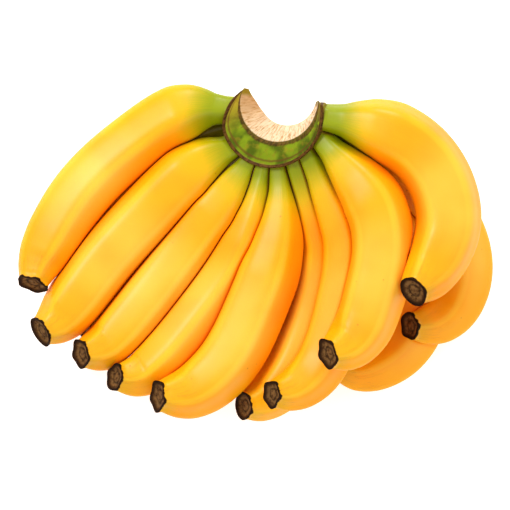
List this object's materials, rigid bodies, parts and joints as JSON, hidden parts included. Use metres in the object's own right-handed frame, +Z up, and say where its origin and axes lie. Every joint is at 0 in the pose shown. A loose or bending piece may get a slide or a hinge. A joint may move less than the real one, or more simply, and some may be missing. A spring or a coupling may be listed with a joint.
{
  "type": "hand of bananas",
  "caption": "Hand of ripe yellow bananas in two rows, joined at a green crown with a pale fibrous cut, lying on its back.",
  "frame": {"origin": "on the floor, under the middle of the hand's box", "axes": "+X across the fan of fruit, +Y towards the crown, +Z up, the way the tips point"},
  "size_m": [0.3189, 0.2254, 0.1099],
  "materials": {
    "banana_skin": "ripe banana skin: smooth, waxy, half gloss",
    "crown_flesh": "green and brown plant tissue, dull, with a pale fibrous cut"
  },
  "bodies": {
    "root": {"crown": "crown_flesh", "banana_front_1": "banana_skin", "banana_front_2": "banana_skin", "banana_front_3": "banana_skin", "banana_front_4": "banana_skin", "banana_front_5": "banana_skin", "banana_front_6": "banana_skin", "banana_front_7": "banana_skin", "banana_front_8": "banana_skin", "banana_front_9": "banana_skin", "banana_back_1": "banana_skin", "banana_back_2": "banana_skin", "banana_back_3": "banana_skin", "banana_back_4": "banana_skin", "banana_back_5": "banana_skin", "banana_back_6": "banana_skin", "banana_back_7": "banana_skin"}
  },
  "joints": []
}
